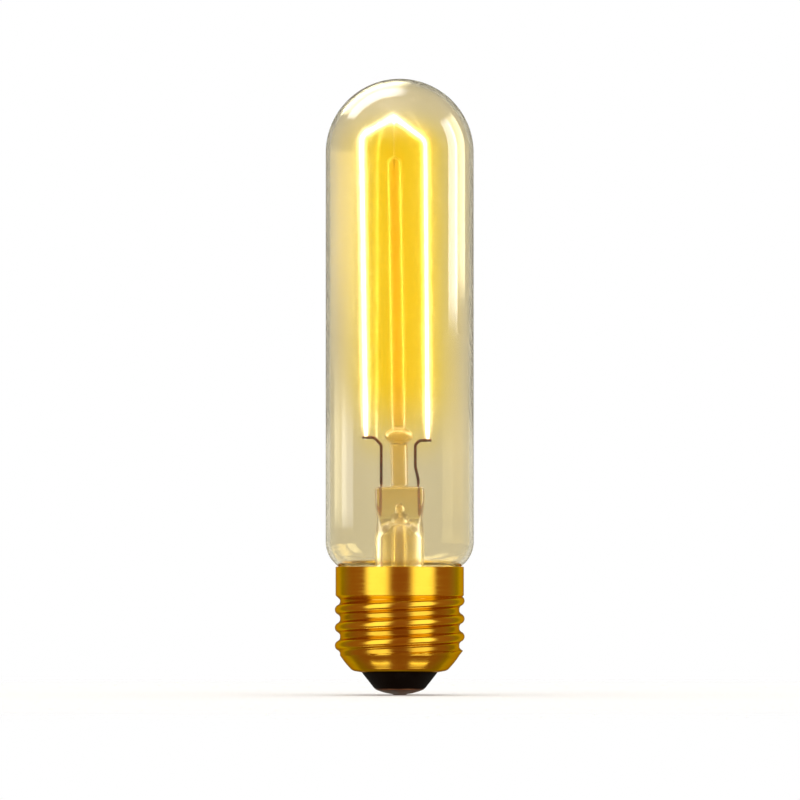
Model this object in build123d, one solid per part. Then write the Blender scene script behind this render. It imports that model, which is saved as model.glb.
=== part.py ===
import os
from math import asin, atan2, cos, degrees, radians, sin, sqrt, tan

from build123d import *

# Tubular filament bulb with a screw cap, standing on its cap.
# Millimetres. Origin at the tip of the cap's contact, +Z up the axis, the filament facing -Y.

# Glass envelope
OVERALL_HEIGHT = 125.0
TUBE_DIAMETER = 30.0
GLASS_WALL = 0.8
SHOULDER_ANGLE = 55.0  # slope of the glass at the cap's rim, from the axis
NECK_CLEARANCE = 4.7  # neck's end above the glass in the foot of the cap
RIM_GAP = 0.35  # glass to the inside of the skirt, room for the side lead
NECK_GAP = 0.8  # neck to the inside of the thread

# Screw shell, rolled from thin sheet
THREAD_DIAMETER = 26.3  # over the crests
THREAD_PITCH = 3.629
THREAD_ROUNDING = 1.025  # radius of crest and of root
THREAD_CREST_HEIGHT = 13.65  # of a crest on the -X side
THREAD_LAND = 0.6  # flat between two turns, at the root
CAP_WALL = 0.3
RIM_HEIGHT = 26.0
SKIRT_HEIGHT = 5.8
SKIRT_STEP = 0.15  # the skirt lies inside the crests by this
THREAD_FADE = 0.9  # height over which crests sink into the skirt
FOOT_DIAMETER = 19.4  # at the corner between cone and lip
FOOT_HEIGHT = 4.95
FOOT_ANGLE = 38.0  # cone from the axis
FOOT_ROUNDING = 1.8
LIP_DIAMETER = 15.4
LIP_HEIGHT = 4.6

# Insulator and centre contact
INSULATOR_TIP_DIAMETER = 10.2
INSULATOR_TIP_HEIGHT = 1.3
INSULATOR_FILL = 2.7  # depth of the glass inside the foot
CONTACT_DIAMETER = 9.9
CONTACT_EDGE = 0.15
CONTACT_SEAT_HEIGHT = 0.1  # lowest point of the plate above the solder's tip
EYELET_BORE = 1.7
EYELET_WALL = 0.3
EYELET_LENGTH = 2.2
SOLDER_DIAMETER = 3.0
SOLDER_PLUG = 1.1  # how far solder runs up the eyelet

# Glass stem
FLARE_TUBE_DIAMETER = 10.0
FLARE_WALL = 0.8
PRESS_RISE = 16.2  # top of the press above the cap's rim
PRESS_WIDTH = 10.3
PRESS_DEPTH = 4.6
PRESS_HEIGHT = 6.2
PRESS_TAPER = 3.5  # height over which the round tube is pinched
PRESS_WAIST = 9.4
PRESS_ROUNDING = 0.8
EXHAUST_DIAMETER = 3.6
EXHAUST_WALL = 0.8
EXHAUST_EMBED = 5.6  # end of the exhaust tube below the top of the press
EXHAUST_TIP_RISE = 0.4  # sealed tip above the neck's end
VENT_DIAMETER = 1.5
VENT_DROP = 3.9  # vent below the top of the press

# Glass support rod
ROD_DIAMETER = 3.0
ROD_BASE_DIAMETER = 3.5
ROD_FOOT_FLARE = 0.5
ROD_LEAN = 0.95  # degrees towards -X
ROD_HEADROOM = 15.0  # rod's end below the inside of the crown
BUTTON_DIAMETER = 5.8
BUTTON_HEIGHT = 2.9
BUTTON_RISE = 10.3  # middle of the button above the press

# Wires
LEAD_DIAMETER = 0.6
LEAD_SPACING = 7.5
LEAD_BEND = 0.8
LEAD_OVERHANG = 0.75  # lead's end past the filament
LEAD_FLAT = 1.5  # length of the flattened end that the filament is welded to
LEAD_FLAT_OFFSET = 0.1  # face of the flat behind the wire's axis
LEFT_BAR_RISE = 10.0  # crossbars of the leads above the press
RIGHT_BAR_RISE = 9.4
LEFT_KNEE = 1.5
RIGHT_KNEE = 0.9
RIGHT_CRANK = 0.6  # the right lead cranks in above the press
CRANK_RISE = 1.0
CRANK_HEIGHT = 2.6
SEAL_DIAMETER = 0.4
SEAL_STUB = 0.5  # seal wire standing out of the press
SEAL_LENGTH = 12.7
OUTER_LEAD_DIAMETER = 0.3
OUTER_LEAD_BEND = 1.2
LEAD_SWEEP_DROP = 1.6  # side lead where it passes under the flare
CENTRE_BEND_RISE = 2.5  # bends of the centre lead above and below the neck's end
CENTRE_BEND_DROP = 2.8
SIDE_LEAD_KNEE = 4.2  # below the rim
SIDE_SOLDER_RADIUS = 0.75
SIDE_SOLDER_BULGE = 0.15
CEMENT_RECESS = 0.8
CEMENT_HEIGHT = 3.5

# Filament and its hook
FILAMENT_DIAMETER = 0.8
FILAMENT_HEADROOM = 6.95  # corner of the arch below the inside of the crown
LEFT_FOOT_OFFSET = 6.85
LEFT_TOP_OFFSET = 7.75
RIGHT_FOOT_OFFSET = 5.7
RIGHT_TOP_OFFSET = 5.2
LEFT_SHOULDER_DROP = 3.6
RIGHT_SHOULDER_DROP = 4.7
SHOULDER_BEND = 2.2
APEX_BEND = 1.5
FILAMENT_TAIL = 0.3  # below the middle of the crossbars
HOOK_DIAMETER = 0.3
HOOK_CLEARANCE = 0.06
HOOK_EMBED = 2.6
HOOK_TURN = 270.0

# Derived radii and heights
tube_r = TUBE_DIAMETER / 2
crest_r = THREAD_DIAMETER / 2
thread_depth = 2 * THREAD_ROUNDING - sqrt(4 * THREAD_ROUNDING**2 - THREAD_PITCH**2 / 4)
root_r = crest_r - thread_depth
skirt_r = crest_r - SKIRT_STEP
skirt_bottom = RIM_HEIGHT - SKIRT_HEIGHT
skirt_bore_r = skirt_r - CAP_WALL
lip_r = LIP_DIAMETER / 2
rim_glass_r = skirt_bore_r - RIM_GAP
thread_bore_r = root_r - CAP_WALL
neck_r = thread_bore_r - NECK_GAP
fill_top = LIP_HEIGHT + INSULATOR_FILL
neck_end = fill_top + NECK_CLEARANCE
stem_bottom = neck_end - FLARE_WALL
crown_inside = OVERALL_HEIGHT - GLASS_WALL
press_top = RIM_HEIGHT + PRESS_RISE
seal_top = press_top + SEAL_STUB
seal_bottom = seal_top - SEAL_LENGTH
lead_x = LEAD_SPACING / 2
left_bar = press_top + LEFT_BAR_RISE
right_bar = press_top + RIGHT_BAR_RISE
rod_top = crown_inside - ROD_HEADROOM
apex_top = crown_inside - FILAMENT_HEADROOM
filament_y = LEAD_FLAT_OFFSET + FILAMENT_DIAMETER / 2
apex_x = -tan(radians(ROD_LEAN)) * (rod_top - press_top)


def turned(outline):
    """Solid of revolution about Z; the outline is in (radius, height)."""
    return revolve(Plane.XZ * make_face(outline), Axis.Z)


def turned_polygon(*points):
    return turned(Polyline(*points, close=True))


def disc(radius, bottom, top):
    """Plain cylinder on the axis."""
    return Pos(0, 0, bottom) * Cylinder(radius, top - bottom, align=(Align.CENTER, Align.CENTER, Align.MIN))


def dish_arc(radius, bottom, rise):
    """Arc from the axis out to a radius, rising by rise."""
    ball = (radius**2 + rise**2) / (2 * rise)
    return CenterArc((0, bottom + ball), ball, -90, degrees(asin(radius / ball)))


def swept(path, diameter):
    """Round wire along a path of straight runs and round bends."""
    rod = Part()
    for edge in path.edges():
        section = Plane(origin=edge @ 0, z_dir=edge % 0) * Circle(diameter / 2)
        if edge.geom_type == GeomType.LINE:
            rod += extrude(section, amount=edge.length)
        else:
            spoke = edge @ 0 - edge.arc_center
            bend = Axis(edge.arc_center, spoke.cross(edge % 0))
            rod += revolve(section, bend, degrees(edge.length / edge.radius))
    return rod


def wire(points, diameter, bend):
    """Round wire along straight runs with rounded bends."""
    return swept(FilletPolyline(*points, radius=bend), diameter)


# Glass envelope: crown, tube, shoulder and neck, turned with an even wall
def envelope_form(inset):
    """The blown form with its surface moved inwards by inset."""
    run = 1 - cos(radians(SHOULDER_ANGLE))
    shoulder_radius = (tube_r - rim_glass_r) / run
    throat_radius = (rim_glass_r - neck_r) / run
    shoulder_top = RIM_HEIGHT + shoulder_radius * sin(radians(SHOULDER_ANGLE))
    crown = CenterArc((0, OVERALL_HEIGHT - tube_r), tube_r - inset, 0, 90)
    tube = Line(crown @ 0, (tube_r - inset, shoulder_top))
    shoulder = JernArc(tube @ 1, (0, -1), shoulder_radius - inset, -SHOULDER_ANGLE)
    throat = JernArc(shoulder @ 1, shoulder % 1, throat_radius + inset, SHOULDER_ANGLE)
    closing = Polyline(throat @ 1, (neck_r - inset, neck_end), (0, neck_end), crown @ 1)
    return turned([crown, tube, shoulder, throat, *closing.edges()])


def make_envelope():
    return envelope_form(0) - envelope_form(GLASS_WALL)


# Screw shell: round thread on a thin wall, drawn in to a lip at the foot
def thread_form(bottom, top):
    """Right-hand round thread: tangent arcs of crest and roots swept up a helix round a core."""
    root_centre = root_r + THREAD_ROUNDING
    flank = degrees(atan2(THREAD_PITCH / 2, 2 * THREAD_ROUNDING - thread_depth))
    end = degrees(asin(THREAD_LAND / 4 / THREAD_ROUNDING))
    lower = CenterArc((root_centre, -THREAD_PITCH / 2), THREAD_ROUNDING, 180 - end, end - flank)
    crest = CenterArc((crest_r - THREAD_ROUNDING, 0), THREAD_ROUNDING, -flank, 2 * flank)
    upper = CenterArc((root_centre, THREAD_PITCH / 2), THREAD_ROUNDING, flank - 180, end - flank)
    sunk = root_r - THREAD_ROUNDING
    back = Polyline(upper @ 1, (sunk, (upper @ 1).Y), (sunk, (lower @ 0).Y), lower @ 0)
    section = Plane.XZ * make_face([lower, crest, upper, *back.edges()])
    ridge = sweep(section, path=Helix(THREAD_PITCH, top - bottom, root_r), is_frenet=True)
    turn = 180 + 360 * (bottom - THREAD_CREST_HEIGHT) / THREAD_PITCH
    core_r = root_centre - sqrt(THREAD_ROUNDING**2 - (THREAD_LAND / 2) ** 2)
    core = disc(core_r, bottom - THREAD_PITCH, top + THREAD_PITCH)
    return core + Pos(0, 0, bottom) * Rot(0, 0, turn) * ridge


def foot_form(inset):
    """What the thread is cut to: cone and lip below, the fade into the skirt above."""
    cone = tan(radians(FOOT_ANGLE))
    cone_shift = inset / cos(radians(FOOT_ANGLE))
    lip_slope = (FOOT_HEIGHT - LIP_HEIGHT) / (FOOT_DIAMETER / 2 - lip_r)
    lip_shift = inset * sqrt(1 + lip_slope**2)
    # corner where the moved lip and the moved cone meet
    corner_drop = (cone_shift + lip_shift * cone) / (1 - lip_slope * cone)
    corner_r = FOOT_DIAMETER / 2 - corner_drop
    corner = (corner_r, FOOT_HEIGHT + lip_shift - corner_drop * lip_slope)
    wide_r = crest_r + SKIRT_STEP - inset
    wide_height = corner[1] + (wide_r - corner_r) / cone
    underside = corner[1] - corner_r * lip_slope
    outline = FilletPolyline((0, underside), corner, (wide_r, wide_height), radius=(FOOT_ROUNDING - inset))
    shade = Polyline(
        (wide_r, wide_height),
        (wide_r, skirt_bottom - 2 * THREAD_FADE),
        (skirt_r - inset, skirt_bottom),
        (0, skirt_bottom),
        (0, underside),
    )
    return turned([*outline.edges(), *shade.edges()])


def make_screw_shell():
    slope = 2 * thread_depth
    threaded = thread_form(LIP_HEIGHT, skirt_bottom) & foot_form(0)
    skirt = turned_polygon(
        (0, skirt_bottom - slope),
        (skirt_r - slope, skirt_bottom - slope),
        (skirt_r, skirt_bottom),
        (skirt_r, RIM_HEIGHT),
        (0, RIM_HEIGHT),
    )
    bore = turned_polygon(
        (0, LIP_HEIGHT),
        (thread_bore_r, LIP_HEIGHT),
        (thread_bore_r, skirt_bottom - CAP_WALL),
        (skirt_bore_r, skirt_bottom + CAP_WALL),
        (skirt_bore_r, RIM_HEIGHT),
        (0, RIM_HEIGHT),
    )
    hollow = bore & (foot_form(CAP_WALL) + disc(skirt_bore_r, skirt_bottom, RIM_HEIGHT))
    return threaded + skirt - hollow - disc(lip_r, 0, RIM_HEIGHT)


# Insulator: black glass run into the foot of the shell
def make_insulator():
    tip_r = INSULATOR_TIP_DIAMETER / 2
    hole_r = EYELET_BORE / 2 + EYELET_WALL
    fill = foot_form(CAP_WALL) & disc(thread_bore_r, 0, fill_top)
    tip = turned_polygon(
        (0, INSULATOR_TIP_HEIGHT),
        (tip_r, INSULATOR_TIP_HEIGHT),
        (lip_r, LIP_HEIGHT),
        (lip_r, fill_top),
        (0, fill_top),
    )
    funnel = turned_polygon(
        (0, LIP_HEIGHT),
        (hole_r, LIP_HEIGHT),
        (hole_r + INSULATOR_FILL, fill_top),
        (0, fill_top),
    )
    return fill + tip - funnel - disc(hole_r, 0, fill_top)


# Centre contact: domed plate with its eyelet
def make_centre_contact():
    plate_r = CONTACT_DIAMETER / 2
    edge_bottom = INSULATOR_TIP_HEIGHT - CONTACT_EDGE
    dome = dish_arc(plate_r, CONTACT_SEAT_HEIGHT, edge_bottom - CONTACT_SEAT_HEIGHT)
    top = Polyline(dome @ 1, (plate_r, INSULATOR_TIP_HEIGHT), (0, INSULATOR_TIP_HEIGHT), dome @ 0)
    plate = turned([dome, *top.edges()])
    bore_r = EYELET_BORE / 2
    eyelet_top = INSULATOR_TIP_HEIGHT + EYELET_LENGTH
    eyelet = disc(bore_r + EYELET_WALL, INSULATOR_TIP_HEIGHT, eyelet_top)
    return plate + eyelet - disc(bore_r, 0, eyelet_top)


def make_centre_solder(contact, lead):
    mound_r = SOLDER_DIAMETER / 2
    plug_top = CONTACT_SEAT_HEIGHT + SOLDER_PLUG
    mound = dish_arc(mound_r, 0, CONTACT_SEAT_HEIGHT)
    side = Polyline(mound @ 1, (mound_r, INSULATOR_TIP_HEIGHT), (0, INSULATOR_TIP_HEIGHT), mound @ 0)
    plug = disc(EYELET_BORE / 2, CONTACT_SEAT_HEIGHT, plug_top)
    return turned([mound, *side.edges()]) + plug - contact - lead


# Stem: trumpet fused to the neck, straight tube, pinched press
def make_press(bottom):
    """The end of the tube pinched flat between two jaws."""
    half_width = PRESS_WIDTH / 2
    half_depth = PRESS_DEPTH / 2
    pinch_top = press_top - PRESS_HEIGHT
    widest = press_top - PRESS_HEIGHT / 2
    pipe_r = FLARE_TUBE_DIAMETER / 2
    shoulder = press_top - PRESS_ROUNDING
    side = FilletPolyline(
        (pipe_r, bottom),
        (PRESS_WAIST / 2, pinch_top),
        (half_width, widest),
        (half_width, shoulder),
        radius=PRESS_HEIGHT / 2,
    )
    side_corner = CenterArc((half_width - PRESS_ROUNDING, shoulder), PRESS_ROUNDING, 0, 90)
    core = Polyline(side_corner @ 1, (0, press_top), (0, bottom), (pipe_r, bottom))
    blank = turned([*side.edges(), side_corner, *core.edges()])
    face_corner = CenterArc((half_depth - PRESS_ROUNDING, shoulder), PRESS_ROUNDING, 0, 90)
    face = FilletPolyline(face_corner @ 0, (half_depth, pinch_top), (pipe_r, bottom), radius=PRESS_TAPER)
    middle = Polyline((pipe_r, bottom), (0, bottom), (0, press_top), face_corner @ 1)
    jaw = make_face([face_corner, *face.edges(), *middle.edges()])
    half = extrude(Plane.YZ * jaw, FLARE_TUBE_DIAMETER, both=True)
    return blank & (half + mirror(half, Plane.XZ))


def make_stem(exhaust_form, seals):
    tube_outer = FLARE_TUBE_DIAMETER / 2
    tube_inner = tube_outer - FLARE_WALL
    sweep_r = neck_r - GLASS_WALL - tube_outer
    pinch_bottom = press_top - PRESS_HEIGHT - PRESS_TAPER
    centre = (tube_outer + sweep_r, neck_end + sweep_r)

    trumpet = CenterArc(centre, sweep_r, 270, -90)
    above = Polyline(trumpet @ 1, (tube_outer, pinch_bottom), (0, pinch_bottom), (0, stem_bottom))
    below = Polyline((0, stem_bottom), (neck_r, stem_bottom), (neck_r, neck_end), trumpet @ 0)
    body = turned([trumpet, *above.edges(), *below.edges()])

    mouth = CenterArc(centre, sweep_r + FLARE_WALL, 270, -90)
    bore_end = pinch_bottom - PRESS_TAPER / 2
    dome_end = bore_end + PRESS_TAPER
    bore = Polyline(mouth @ 1, (tube_inner, bore_end), (0, dome_end), (0, stem_bottom), mouth @ 0)
    hollow = turned([mouth, *bore.edges()])

    vent_height = press_top - VENT_DROP
    bore_r = EXHAUST_DIAMETER / 2 - EXHAUST_WALL
    passage = disc(bore_r, press_top - EXHAUST_EMBED, vent_height)
    vent = Pos(0, 0, vent_height) * Rot(90, 0, 0) * Cylinder(
        VENT_DIAMETER / 2, PRESS_DEPTH, align=(Align.CENTER, Align.CENTER, Align.MIN)
    )
    stem = body + make_press(pinch_bottom) - hollow - exhaust_form - passage - vent
    for seal in seals:
        stem -= seal
    return stem


def exhaust_outline(inset):
    """Exhaust tube as a solid, tipped off at the bottom, its surface moved inwards by inset."""
    outer = EXHAUST_DIAMETER / 2 - inset
    tip = neck_end + EXHAUST_TIP_RISE + inset
    top = press_top - EXHAUST_EMBED
    end = dish_arc(outer, tip, outer)
    wall = Polyline(end @ 1, (outer, top), (0, top), end @ 0)
    return turned([end, *wall.edges()])


def make_exhaust_tube():
    return exhaust_outline(0) - exhaust_outline(EXHAUST_WALL)


# Support rod: cane with a flared foot, a melted button and a round end
def make_support_rod(hook):
    base_r = ROD_BASE_DIAMETER / 2
    rod_r = ROD_DIAMETER / 2
    length = (rod_top - press_top) / cos(radians(ROD_LEAN))
    button_bottom = BUTTON_RISE - BUTTON_HEIGHT / 2
    button_top = BUTTON_RISE + BUTTON_HEIGHT / 2

    flare = CenterArc((base_r + ROD_FOOT_FLARE, ROD_FOOT_FLARE), ROD_FOOT_FLARE, 270, -90)
    base = Line(flare @ 1, (base_r, button_bottom))
    button = ThreePointArc(base @ 1, (BUTTON_DIAMETER / 2, BUTTON_RISE), (rod_r, button_top))
    shank = Line(button @ 1, (rod_r, length - rod_r))
    end = CenterArc((0, length - rod_r), rod_r, 0, 90)
    sunk = -ROD_FOOT_FLARE
    root = Polyline(end @ 1, (0, sunk), (base_r + ROD_FOOT_FLARE, sunk), flare @ 0)
    cane = turned([flare, base, button, shank, end, *root.edges()])
    leaning = Pos(0, 0, press_top) * Rot(0, -ROD_LEAN, 0) * cane
    return split(leaning, Plane.XY.offset(press_top), keep=Keep.TOP) - hook


# Wires
def make_inner_lead(side, bar, foot_offset, knee, crank):
    """Lead from the press up to its crossbar; side is -1 on the left and 1 on the right."""
    upright = lead_x - crank
    tip = foot_offset + LEAD_OVERHANG
    points = [(side * lead_x, 0, seal_top)]
    if crank:
        points.append((side * lead_x, 0, seal_top + CRANK_RISE))
        points.append((side * upright, 0, seal_top + CRANK_RISE + CRANK_HEIGHT))
    points.append((side * upright, 0, bar - knee))
    points.append((side * (upright + knee), 0, bar))
    points.append((side * tip, 0, bar))
    lead = wire(points, LEAD_DIAMETER, LEAD_BEND)
    pressing = Pos(side * tip, LEAD_FLAT_OFFSET, bar) * Box(
        2 * LEAD_FLAT, LEAD_DIAMETER, LEAD_DIAMETER, align=(Align.CENTER, Align.MIN, Align.CENTER)
    )
    return lead - pressing


def make_press_seal(side):
    return Pos(side * lead_x, 0, 0) * disc(SEAL_DIAMETER / 2, seal_bottom, seal_top)


def make_centre_lead():
    points = [
        (-lead_x, 0, seal_bottom),
        (-lead_x, 0, neck_end + CENTRE_BEND_RISE),
        (0, 0, neck_end - CENTRE_BEND_DROP),
        (0, 0, CONTACT_SEAT_HEIGHT),
    ]
    return wire(points, OUTER_LEAD_DIAMETER, OUTER_LEAD_BEND)


def make_side_lead():
    beside_neck = neck_r + NECK_GAP / 2
    at_rim = rim_glass_r + RIM_GAP / 2
    under_flare = stem_bottom - LEAD_SWEEP_DROP
    points = [
        (lead_x, 0, seal_bottom),
        (lead_x, 0, under_flare),
        (0, beside_neck, under_flare),
        (0, beside_neck, RIM_HEIGHT - SIDE_LEAD_KNEE),
        (0, at_rim, RIM_HEIGHT - CEMENT_RECESS),
        (0, at_rim, RIM_HEIGHT),
    ]
    bends = [OUTER_LEAD_BEND] * 3 + [CEMENT_RECESS]
    return wire(points, OUTER_LEAD_DIAMETER, bends)


def make_side_solder(shell, lead):
    at_rim = rim_glass_r + RIM_GAP / 2
    bead = Pos(0, at_rim, RIM_HEIGHT) * Sphere(SIDE_SOLDER_RADIUS)
    return (bead & disc(skirt_r + SIDE_SOLDER_BULGE, 0, OVERALL_HEIGHT)) - shell - envelope_form(0) - lead


def make_cement(lead):
    top = RIM_HEIGHT - CEMENT_RECESS
    return disc(skirt_bore_r, top - CEMENT_HEIGHT, top) - envelope_form(0) - lead


# Filament: one hairpin over the hook, its feet on the flats of the leads
def filament_route():
    points = [
        (-LEFT_FOOT_OFFSET, filament_y, left_bar - FILAMENT_TAIL),
        (-LEFT_TOP_OFFSET, filament_y, apex_top - LEFT_SHOULDER_DROP),
        (apex_x, filament_y, apex_top),
        (RIGHT_TOP_OFFSET, filament_y, apex_top - RIGHT_SHOULDER_DROP),
        (RIGHT_FOOT_OFFSET, filament_y, right_bar - FILAMENT_TAIL),
    ]
    return FilletPolyline(*points, radius=(SHOULDER_BEND, APEX_BEND, SHOULDER_BEND))


def make_filament_hook():
    """Wire out of the rod's end, curled round the top of the filament."""
    apex = filament_route().edges().filter_by(GeomType.CIRCLE).sort_by(Axis.Z)[-1] @ 0.5
    curl = (FILAMENT_DIAMETER + HOOK_DIAMETER) / 2 + HOOK_CLEARANCE
    shank = Line((filament_y - curl, rod_top - HOOK_EMBED), (filament_y - curl, apex.Z))
    loop = JernArc(shank @ 1, (0, 1), curl, -HOOK_TURN)
    across = Plane(origin=(apex.X, 0, 0), x_dir=(0, 1, 0), z_dir=(1, 0, 0))
    return swept(across * Wire([shank, loop]), HOOK_DIAMETER)


filament_hook = make_filament_hook()
seals = {"left": make_press_seal(-1), "right": make_press_seal(1)}
centre_lead = make_centre_lead()
side_lead = make_side_lead()
screw_shell = make_screw_shell()
centre_contact = make_centre_contact()

parts = {
    "glass_envelope": make_envelope(),
    "stem_flare": make_stem(exhaust_outline(0), seals.values()),
    "exhaust_tube": make_exhaust_tube(),
    "support_rod": make_support_rod(filament_hook),
    "filament_hook": filament_hook,
    "filament": swept(filament_route(), FILAMENT_DIAMETER),
    "inner_lead_left": make_inner_lead(-1, left_bar, LEFT_FOOT_OFFSET, LEFT_KNEE, 0),
    "inner_lead_right": make_inner_lead(1, right_bar, RIGHT_FOOT_OFFSET, RIGHT_KNEE, RIGHT_CRANK),
    "press_seal_left": seals["left"],
    "press_seal_right": seals["right"],
    "outer_lead_centre": centre_lead,
    "outer_lead_side": side_lead,
    "screw_shell": screw_shell,
    "insulator": make_insulator(),
    "centre_contact": centre_contact,
    "centre_solder": make_centre_solder(centre_contact, centre_lead),
    "side_solder": make_side_solder(screw_shell, side_lead),
    "cap_cement": make_cement(side_lead),
}

os.makedirs("parts", exist_ok=True)
for name, shape in parts.items():
    export_step(shape, f"parts/{name}.step")
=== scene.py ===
import math

import bmesh
import bpy
from mathutils import Matrix, Vector, noise


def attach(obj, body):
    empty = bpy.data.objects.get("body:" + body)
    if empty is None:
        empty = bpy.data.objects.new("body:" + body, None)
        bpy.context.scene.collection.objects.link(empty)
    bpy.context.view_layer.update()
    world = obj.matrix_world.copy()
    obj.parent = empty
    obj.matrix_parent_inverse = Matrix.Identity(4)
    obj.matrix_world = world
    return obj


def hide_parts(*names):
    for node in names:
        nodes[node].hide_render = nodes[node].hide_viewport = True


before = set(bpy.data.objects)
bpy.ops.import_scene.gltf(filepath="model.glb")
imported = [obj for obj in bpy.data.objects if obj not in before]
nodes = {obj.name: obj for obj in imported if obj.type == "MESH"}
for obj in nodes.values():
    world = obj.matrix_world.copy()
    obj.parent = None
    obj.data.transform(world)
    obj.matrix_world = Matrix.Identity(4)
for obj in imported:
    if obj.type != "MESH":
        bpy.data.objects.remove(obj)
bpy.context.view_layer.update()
mm = 0.001
fullTurn = 2 * math.pi
print("frame loaded:", len(nodes), "nodes")


# small tools for the turned pieces, all in millimetres as (radius, height)
def arcPoints(centre, radius, start, end, count):
    angles = [math.radians(start + (end - start) * k / count) for k in range(count + 1)]
    return [(centre[0] + radius * math.cos(a), centre[1] + radius * math.sin(a)) for a in angles]


def runPoints(first, last, count):
    return [
        (first[0] + (last[0] - first[0]) * k / count, first[1] + (last[1] - first[1]) * k / count)
        for k in range(1, count)
    ]


def ringMesh(name, rings, closed=False):
    # rings of points from one end to the other; a ring of one point is a pole
    shape = bmesh.new()
    rows = [[shape.verts.new(Vector(point) * mm) for point in ring] for ring in rings]
    pairs = list(zip(rows, rows[1:]))
    if closed:
        pairs.append((rows[-1], rows[0]))
    for lower, upper in pairs:
        count = max(len(lower), len(upper))
        for k in range(count):
            j = (k + 1) % count
            corners = [lower[k % len(lower)], lower[j % len(lower)]]
            corners += [upper[j % len(upper)], upper[k % len(upper)]]
            shape.faces.new(list(dict.fromkeys(corners)))  # three corners at a pole
    bmesh.ops.recalc_face_normals(shape, faces=shape.faces)
    for face in shape.faces:
        face.smooth = True
    mesh = bpy.data.meshes.new(name)
    shape.to_mesh(mesh)
    shape.free()
    return mesh


def turnedRings(outline, steps):
    rings = []
    for radius, height in outline:
        if radius < 1e-6:
            rings.append([(0, 0, height)])
        else:
            spokes = [fullTurn * k / steps for k in range(steps)]
            rings.append([(radius * math.cos(a), radius * math.sin(a), height) for a in spokes])
    return rings


def turnedMesh(name, outline, steps, closed=False):
    return ringMesh(name, turnedRings(outline, steps), closed)


def addPiece(name, mesh, material, stands):
    piece = bpy.data.objects.new(name, mesh)
    bpy.context.scene.collection.objects.link(piece)
    mesh.materials.clear()
    mesh.materials.append(material)
    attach(piece, "root")
    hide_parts(*stands)
    return piece


def sharpen(mesh, angle):
    mesh.set_sharp_from_angle(angle=math.radians(angle))


# small tools for materials
def newMaterial(name):
    material = bpy.data.materials.new(name)
    material.use_nodes = True
    tree = material.node_tree
    return material, tree, tree.nodes["Principled BSDF"]


def setInputs(node, **values):
    for key, value in values.items():
        node.inputs[key.replace("_", " ")].default_value = value
    return node


def addNode(tree, kind, **settings):
    node = tree.nodes.new(kind)
    for key, value in settings.items():
        setattr(node, key, value)
    return node


def feed(tree, value, socket):
    if isinstance(value, bpy.types.NodeSocket):
        tree.links.new(value, socket)
    else:
        socket.default_value = value


def calc(tree, operation, first, second=None, third=None):
    node = addNode(tree, "ShaderNodeMath", operation=operation)
    for value, socket in zip((first, second, third), node.inputs):
        if value is not None:
            feed(tree, value, socket)
    return node.outputs[0]


def blendColours(tree, factor, first, second):
    node = addNode(tree, "ShaderNodeMix", data_type="RGBA")
    feed(tree, factor, node.inputs[0])
    feed(tree, first, node.inputs[6])
    feed(tree, second, node.inputs[7])
    return node.outputs[2]


def mixShaders(tree, factor, first, second):
    node = addNode(tree, "ShaderNodeMixShader")
    for value, socket in zip((factor, first, second), node.inputs):
        tree.links.new(value, socket)
    return node.outputs[0]


def mapRange(tree, value, fromMin, fromMax, toMin=0.0, toMax=1.0):
    node = addNode(tree, "ShaderNodeMapRange", interpolation_type="SMOOTHSTEP")
    feed(tree, value, node.inputs["Value"])
    setInputs(node, From_Min=fromMin, From_Max=fromMax, To_Min=toMin, To_Max=toMax)
    return node.outputs["Result"]


def within(tree, value, rise, fall):
    # one between two soft ends, nothing outside them
    return calc(tree, "MULTIPLY", mapRange(tree, value, *rise), mapRange(tree, value, *fall, 1.0, 0.0))


def objectPlace(tree):
    return addNode(tree, "ShaderNodeTexCoord").outputs["Object"]


def axes(tree, vector):
    node = addNode(tree, "ShaderNodeSeparateXYZ")
    tree.links.new(vector, node.inputs[0])
    return node.outputs


def fromAxis(tree, x, y):
    squares = calc(tree, "ADD", calc(tree, "MULTIPLY", x, x), calc(tree, "MULTIPLY", y, y))
    return calc(tree, "SQRT", squares)


# where noise is cut, from soft to crisp
softNoise = (0.25, 0.75)
evenNoise = (0.3, 0.7)
crispNoise = (0.35, 0.65)


def noiseFactor(tree, place, scale, detail=3.0):
    node = addNode(tree, "ShaderNodeTexNoise")
    tree.links.new(place, node.inputs["Vector"])
    setInputs(node, Scale=scale, Detail=detail, Roughness=0.55)
    return node.outputs["Fac"]


def aroundPlace(tree, stretch, along):
    # place on a turned piece as (angle, height, radius), scaled to draw lines round it
    x, y, z = axes(tree, objectPlace(tree))
    angle = calc(tree, "ARCTAN2", y, x)
    radius = fromAxis(tree, x, y)
    node = addNode(tree, "ShaderNodeCombineXYZ")
    tree.links.new(calc(tree, "MULTIPLY", angle, stretch), node.inputs[0])
    tree.links.new(calc(tree, "MULTIPLY", z, along), node.inputs[1])
    tree.links.new(calc(tree, "MULTIPLY", radius, along), node.inputs[2])
    return node.outputs[0], radius, z


def addBump(tree, height, strength, distance, target):
    node = addNode(tree, "ShaderNodeBump")
    setInputs(node, Strength=strength, Distance=distance)
    tree.links.new(height, node.inputs["Height"])
    tree.links.new(node.outputs["Normal"], target.inputs["Normal"])


def showSurface(tree, shader):
    tree.links.new(shader, tree.nodes["Material Output"].inputs["Surface"])


def letLampsThrough(tree, shader, tint):
    # lamps and the filament shine through clear glass
    path = addNode(tree, "ShaderNodeLightPath")
    clear = setInputs(addNode(tree, "ShaderNodeBsdfTransparent"), Color=tint)
    showSurface(tree, mixShaders(tree, path.outputs["Is Shadow Ray"], shader, clear.outputs[0]))


# heights, radii and depths in the finishes are in metres
glassIndex = 1.5
grainDepth = 0.0001

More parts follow.
